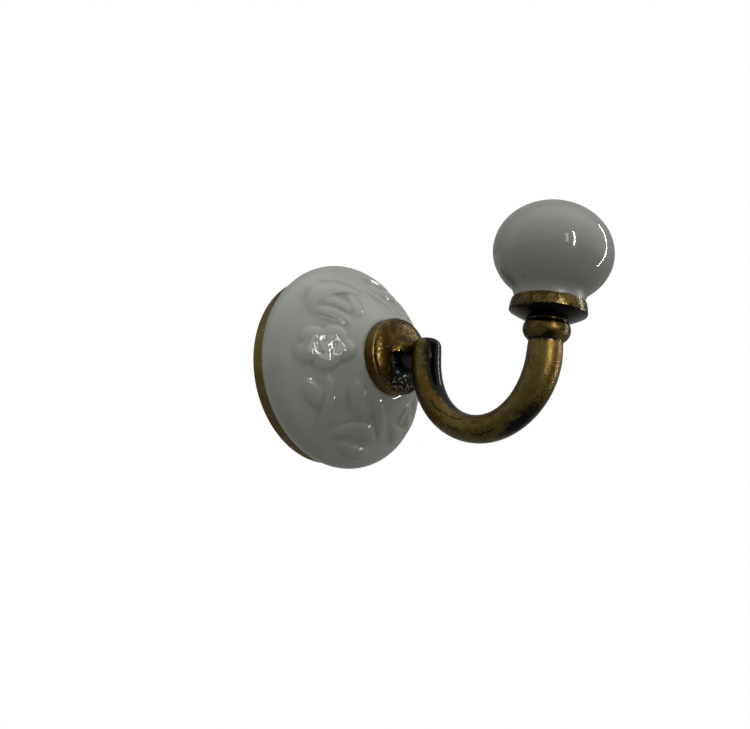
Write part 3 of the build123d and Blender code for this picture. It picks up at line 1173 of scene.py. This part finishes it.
        # Painted shade: darker the more the cup's surface faces down
        under = np.clip(-at.facing_up - flat, 0, steep - flat) * wear.under_strength
        under *= (over_bead > wear.under_above_bead) & at.on_neck
        under *= 1 - wear.under_ends_fade * rise(np.abs(at.neck_across - wear.under_middle), *wear.under_ends)
        head = wear.head_least + wear.head_more * rise(at.side, *wear.head_side)
        head *= (over_bead > wear.head_above_bead) & at.on_neck
        joint = bell(at.neck_height, wear.joint_height, wear.joint_spread) * wear.joint_strength
        joint *= np.maximum(rise(at.neck_across, *wear.joint_across), wear.joint_least)
        patch = bell(at.neck_height, wear.patch_height + wear.patch_slant * at.neck_across, wear.patch_spread)
        patch *= bell(at.neck_across, 0.0, wear.patch_width) * wear.patch_strength
        return np.max([under + head, joint, patch], axis=0)

    def patina_and_shade(self, at: ArmPlaces, hidden: np.ndarray) -> np.ndarray:
        """Mark where patina stays, together with the painted shade on boss, bar and cup and the painted light
        on the stem's upper side.

        Args:
            at: the vertices' places.
            hidden: how hidden each lies.

        Returns:
            From 0 to 1.
        """
        wear = self.wear
        patina_and_shade = wear.patina_least + hidden * wear.patina_recess
        # Painted light: less patina on the stem's upper side, so its top stays lighter than its underside
        lit_stem_top = self.on_stem(at) & (at.level > wear.stem_lit_level)
        patina_and_shade = np.where(lit_stem_top, wear.stem_lit_share * patina_and_shade, patina_and_shade)
        marks = np.max([self.bar_patina_and_shade(at), self.boss_painted_shade(at), self.neck_patina_and_shade(at)], axis=0)
        return np.clip(np.maximum(patina_and_shade, np.clip(marks, 0, 1) + wear.patina_marks), 0, 1)

    def smoke_and_shade(self, at: ArmPlaces) -> np.ndarray:
        """Mark the brown tint, which also turns the patina into painted deep shade: over the boss, but not on
        the stem's upper side, left lighter as painted light, and on the head, more towards +X.

        Args:
            at: the vertices' places.

        Returns:
            From 0 to 1.
        """
        wear = self.wear
        rim = self.boss_radius / MILLIMETRE
        smoke_and_shade = rise(at.off_face, *wear.smoke_start) * rise(at.off_face, *wear.smoke_end)
        smoke_and_shade *= rise(at.from_axis, rim, rim - wear.smoke_edge)
        # Painted light: the stem's upper side is left out, so it stays lighter
        above = (at.level > wear.lit_stem_level) & (at.from_axis < wear.lit_stem_radius)
        smoke_and_shade[self.on_stem(at) & above] = 0.0
        head = wear.smoke_head_least + wear.smoke_head_more * rise(at.side, *wear.smoke_head_side)
        return np.maximum(smoke_and_shade, self.on_head(at) * head)

    def on_head(self, at: ArmPlaces) -> np.ndarray:
        """Tell which vertices are on bead and cup."""
        return at.on_neck & (at.level > self.bead_level / MILLIMETRE)

    def rub(self, at: ArmPlaces, edges: np.ndarray) -> np.ndarray:
        """Mark the edges that hands have rubbed bright.

        Args:
            at: the vertices' places.
            edges: how sharply the casting turns outwards at each.

        Returns:
            From 0 to 1.
        """
        rub = np.where(at.off_face < self.wear.rub_boss_depth, edges * self.wear.rub_boss_share, edges)
        return np.where(self.on_head(at), rub * self.wear.rub_head_share, rub)

    def painted_glints(self, at: ArmPlaces) -> np.ndarray:
        """Mark where painted glints sparkle on the boss: round its dark corner.

        Args:
            at: the vertices' places.

        Returns:
            From 0 to 1.
        """
        wear = self.wear
        left = rise(at.slanted, *wear.glint_left_start) * rise(at.slanted, *wear.glint_left_end)
        left *= at.level < wear.glint_left_top
        low = rise(at.level, *wear.glint_low_level) * rise(at.slanted, *wear.glint_low_start)
        nearest, farthest = wear.glint_faces
        on_face = (at.off_face > nearest) & (at.off_face < farthest)
        return np.maximum(left, low) * on_face * (at.level > wear.glint_lowest)

    def streaks(self, at: ArmPlaces) -> np.ndarray:
        """Draw the dark, broken lines that run along the bar's sides.

        Args:
            at: the vertices' places.

        Returns:
            From 0 to 1 in the middle of a line.
        """
        wear = self.wear
        chance = np.random.default_rng(self.seed)
        knots = np.arange(*wear.streak_run, wear.streak_step)
        slow = knots[:: wear.streak_slow_every]
        gaps = knots[:: wear.streak_break_every]
        wobble = np.interp(at.run, knots, chance.normal(0, wear.streak_fine_wobble, len(knots)))
        wobble += np.interp(at.run, slow, chance.normal(0, wear.streak_slow_wobble, len(slow)))
        wobble *= wear.streak_wobble
        breaks = np.clip(np.interp(at.run, gaps, chance.uniform(*wear.streak_breaks, len(gaps))), 0, 1)
        upper = bell(at.around, wear.upper_around + wobble, wear.streak_width)
        upper *= rise(at.sweep, *wear.upper_start) * rise(at.sweep, *wear.upper_end)
        path = wear.lower_around + wear.lower_drift * rise(at.sweep, *wear.lower_drift_sweep)
        lower = bell(at.around, path + wobble, wear.streak_width) * wear.lower_strength
        lower *= rise(at.sweep, *wear.lower_start) * rise(at.sweep, *wear.lower_end)
        return np.maximum(upper, lower) * breaks

    def build(self) -> bpy.types.Object:
        """Build the arm.

        Returns:
            The casting, standing for its CAD node.
        """
        mesh = self.casting()
        points = np.array([vertex.co for vertex in mesh.vertices])
        normals = np.array([vertex.normal for vertex in mesh.vertices])
        at = self.places(points, normals)
        streak = self.streaks(at)
        write_attribute(mesh, "patina_and_shade", self.patina_and_shade(at, self.recesses(mesh)))
        write_attribute(mesh, "rub", self.rub(at, self.edges(mesh, points, normals)))
        write_attribute(mesh, "smoke_and_shade", self.smoke_and_shade(at))
        write_attribute(mesh, "streak", streak)
        write_attribute(mesh, "painted_glints", self.painted_glints(at))
        write_attribute(mesh, "bar", at.bar)
        moved = points - normals * (streak * self.groove_depth)[:, None]
        mesh.vertices.foreach_set("co", moved.astype(np.float32).ravel())
        mesh.update()
        arm = mesh_piece("cast_arm", mesh, self.finish.make())
        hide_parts(Node.ARM.value)
        return arm


@dataclass
class Trim:
    """The pieces that keep their CAD form: plate, knob and studs."""

    plate: AgedBrass = field(
        default_factory=lambda: AgedBrass(
            "brushed_plate_brass",
            rubbed=(0.28, 0.19, 0.070),
            olive=(0.140, 0.100, 0.033),
            amber=(0.111, 0.076, 0.021),
            grain_depth=0.010 * MILLIMETRE,
            drawn_share=0.0,
            dullness=0.48,
            speckle_size=0.22 * MILLIMETRE,
            speckle_stretch=(1.0, 24.0, 1.0),
            pit_depth=0.008 * MILLIMETRE,
            mottle_size=3 * MILLIMETRE,
            patch_size=16 * MILLIMETRE,
        )
    )
    stud: AgedBrass = field(
        default_factory=lambda: AgedBrass("stud_brass", rubbed=(0.40, 0.29, 0.13), olive=(0.26, 0.18, 0.075))
    )
    knob: Glaze = field(
        default_factory=lambda: Glaze(
            "knob_glaze_white",
            body=(0.268, 0.275, 0.250),
            cloud=(0.255, 0.261, 0.235),
            foot_axis=(0.0, -0.0593, 0.9982),
            foot_level=11.6 * MILLIMETRE,
        )
    )

    def dress(self) -> None:
        """Give each kept node its finish."""
        stud = self.stud.make()
        finishes = {
            Node.PLATE: self.plate.make(),
            Node.KNOB: self.knob.make(),
            Node.FIXING_STUD: stud,
            Node.KNOB_STUD: stud,
        }
        for node, material in finishes.items():
            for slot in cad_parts[node.value].material_slots:
                slot.material = material
            log.info("%s dressed with %s", node.value, material.name)


@dataclass(frozen=True)
class Lamp:
    """An area lamp that faces the hook.

    Its place is a direction from the hook and a distance, its radiance is its brightness as the hook
    sees it, and its tilt is how far it is turned in its own plane, in degrees. A matt lamp lights
    surfaces but doesn't show in their gloss, and any other lamp shows in the gloss alone.
    """

    name: str
    towards: Direction
    width: float
    height: float
    radiance: float
    away: float = 1.2
    tilt: float = 0.0
    matt: bool = False
    reach: Reach = Reach.EVERYTHING

    def hang(self, aim: Direction, rose: bpy.types.Object) -> None:
        """Put the lamp in the scene.

        Args:
            aim: the point that it faces.
            rose: the glazed rose, which it may shine on only, or not at all.
        """
        data = bpy.data.lights.new(self.name, "AREA")
        data.shape = "RECTANGLE"
        data.size = self.width
        data.size_y = self.height
        data.energy = self.radiance * math.pi * self.width * self.height
        lamp = bpy.data.objects.new(self.name, data)
        direction = Vector(self.towards).normalized()
        lamp.location = Vector(aim) + direction * self.away
        lamp.rotation_mode = "QUATERNION"
        turned = Quaternion((0, 0, 1), math.radians(self.tilt))
        lamp.rotation_quaternion = direction.to_track_quat("Z", "Y") @ turned
        lamp.visible_diffuse = self.matt
        lamp.visible_glossy = not self.matt
        bpy.context.scene.collection.objects.link(lamp)
        if self.reach is not Reach.EVERYTHING:
            group = bpy.data.collections.new(f"{self.name}_reach")
            group.objects.link(rose)
            group.collection_objects[0].light_linking.link_state = self.reach.value
            lamp.light_linking.receiver_collection = group


# Narrow windows whose reflections run over the glaze and the brass, and one broad soft light
LAMPS = (
    Lamp("front_window", (-0.237, -0.953, 0.188), 0.020, 0.74, 210.0, reach=Reach.ALL_BUT_ROSE),
    Lamp("upper_window", (-0.58, -0.785, 0.21), 0.012, 0.62, 60.0, reach=Reach.ROSE_ONLY),
    Lamp("soft_window", (-0.68, -0.71, 0.24), 0.16, 0.5, 1.7, reach=Reach.ROSE_ONLY),
    Lamp("window_glow", (-0.46, -0.87, 0.19), 0.09, 0.45, 4.0, reach=Reach.ALL_BUT_ROSE),
    Lamp("side_window", (0.845, -0.524, 0.233), 0.009, 0.57, 78.0, away=0.46, tilt=-14.0),
    Lamp("ceiling_light", (0.25, -0.35, 1.0), 1.0, 1.0, 1.1, away=1.5, matt=True),
)


@dataclass
class Studio:
    """Camera, lights, floor and world."""

    rose: bpy.types.Object
    azimuth: float = -44.69
    elevation: float = -15.05
    roll: float = 3.99
    distance: float = 0.37259
    focal_pixels: float = 1500.0
    image_width: int = 750
    image_height: int = 729
    plate_centre_pixel: tuple[float, float] = (322.06, 370.56)
    sensor: float = 36.0
    nearest: float = 0.01
    lamps: tuple[Lamp, ...] = LAMPS
    aim: Direction = (0.0, -0.04, 0.0)
    floor_level: float = -0.16
    floor_size: float = 6.0
    floor_colour: Colour = (0.80, 0.80, 0.79)
    floor_shade: Colour = (0.78, 0.78, 0.77)
    floor_bounce: Colour = (0.16, 0.16, 0.15)
    floor_mirrored: Colour = (0.26, 0.26, 0.245)
    floor_mottle: float = 0.3
    floor_mottle_band: Band = (0.3, 0.7)
    floor_mottle_least: float = 0.97
    floor_roughness: float = 0.8
    ambient: float = 0.655
    slope: Direction = (0.17, -0.05, 0.55)
    least: float = 0.015
    mirrored_behind: float = 0.25
    dimmed_band: Band = (0.1, 0.7)
    white_band: Band = (0.975, 0.997)

    def axes(self) -> tuple[Vector, Vector, Vector]:
        """Work out the camera's directions.

        Returns:
            Its right, up and back directions.
        """
        around, up_angle, roll = (math.radians(angle) for angle in (self.azimuth, self.elevation, self.roll))
        flat = math.cos(up_angle)
        back = Vector((math.sin(around) * flat, -math.cos(around) * flat, math.sin(up_angle)))
        level = Vector((math.cos(around), math.sin(around), 0))
        above = back.cross(level)
        right = level * math.cos(roll) + above * math.sin(roll)
        up = above * math.cos(roll) - level * math.sin(roll)
        return right, up, back

    def camera(self) -> None:
        """Set the camera where the photograph was taken from."""
        right, up, back = self.axes()
        across = (self.plate_centre_pixel[0] - (self.image_width - 1) / 2) / self.focal_pixels
        down = (self.plate_centre_pixel[1] - (self.image_height - 1) / 2) / self.focal_pixels
        data = bpy.data.cameras.new("camera")
        data.sensor_width = self.sensor
        data.lens = self.focal_pixels / self.image_width * self.sensor
        data.clip_start = self.nearest
        camera = bpy.data.objects.new("camera", data)
        place = (back - right * across + up * down) * self.distance
        turn = Matrix((right, up, back)).transposed().to_4x4()
        camera.matrix_world = Matrix.Translation(place) @ turn
        bpy.context.scene.collection.objects.link(camera)
        bpy.context.scene.camera = camera

    def world(self) -> None:
        """Surround the hook with soft light from above, and with white where the camera looks."""
        world = bpy.data.worlds.new("studio")
        world.use_nodes = True
        graph = NodeGraph(world.node_tree)
        ray = graph.node("ShaderNodeTexCoord").outputs["Generated"]
        path = graph.node("ShaderNodeLightPath").outputs
        light = graph.calculate("ADD", graph.along(ray, self.slope), self.ambient)
        light = graph.calculate("MAXIMUM", light, self.least)
        # Gloss sees the world dimmed behind the hook, and white only where the camera looks
        forward = graph.along(ray, tuple(-self.axes()[2]))
        dimming = graph.spread(forward, self.dimmed_band, 0.0, 1.0 - self.mirrored_behind)
        dimming = graph.calculate("MULTIPLY", path["Is Glossy Ray"], dimming)
        light = graph.calculate("MULTIPLY", light, graph.calculate("SUBTRACT", 1.0, dimming))
        white = graph.spread(forward, self.white_band)
        white = graph.calculate("MULTIPLY", path["Is Glossy Ray"], white)
        seen = graph.calculate("MAXIMUM", path["Is Camera Ray"], path["Is Transmission Ray"])
        seen = graph.calculate("MAXIMUM", seen, white)
        background = graph.node("ShaderNodeBackground")
        graph.feed(background.inputs["Color"], graph.blend(seen, light, (1.0, 1.0, 1.0)))
        output = graph.node("ShaderNodeOutputWorld")
        graph.join(background.outputs["Background"], output.inputs["Surface"])
        bpy.context.scene.world = world

    def floor(self) -> None:
        """Lay a plain pale floor under the hook."""
        half = self.floor_size / 2
        mesh = bpy.data.meshes.new("floor")
        corners = [(-half, -half), (half, -half), (half, half), (-half, half)]
        mesh.from_pydata([(x, y, self.floor_level) for x, y in corners], [], [(0, 1, 2, 3)])
        shader = Shader("pale_floor")
        mottle = shader.spread(
            shader.noise(self.floor_mottle), self.floor_mottle_band, self.floor_mottle_least, 1.0
        )
        colour = shader.blend(mottle, self.floor_shade, self.floor_colour)
        path = shader.node("ShaderNodeLightPath").outputs
        bounced = shader.blend(path["Is Glossy Ray"], self.floor_bounce, self.floor_mirrored)
        colour = shader.blend(path["Is Camera Ray"], bounced, colour)
        mesh.materials.append(shader.surface(Base_Color=colour, Roughness=self.floor_roughness))
        floor = bpy.data.objects.new("floor", mesh)
        bpy.context.scene.collection.objects.link(floor)

    def build(self) -> None:
        """Set up the studio."""
        self.camera()
        for lamp in self.lamps:
            lamp.hang(self.aim, self.rose)
        self.world()
        self.floor()
        bpy.context.scene.view_settings.view_transform = "Standard"


def main() -> None:
    """Build and dress the hook, then the studio round it."""
    logging.basicConfig(level=logging.INFO)
    pieces = [part.build() for part in (Rose(), Arm())]
    for piece in pieces:
        piece.data.calc_loop_triangles()
        log.info("%s: %d triangles", piece.name, len(piece.data.loop_triangles))
    Trim().dress()
    Studio(rose=pieces[0]).build()


if __name__ == "__main__":
    main()
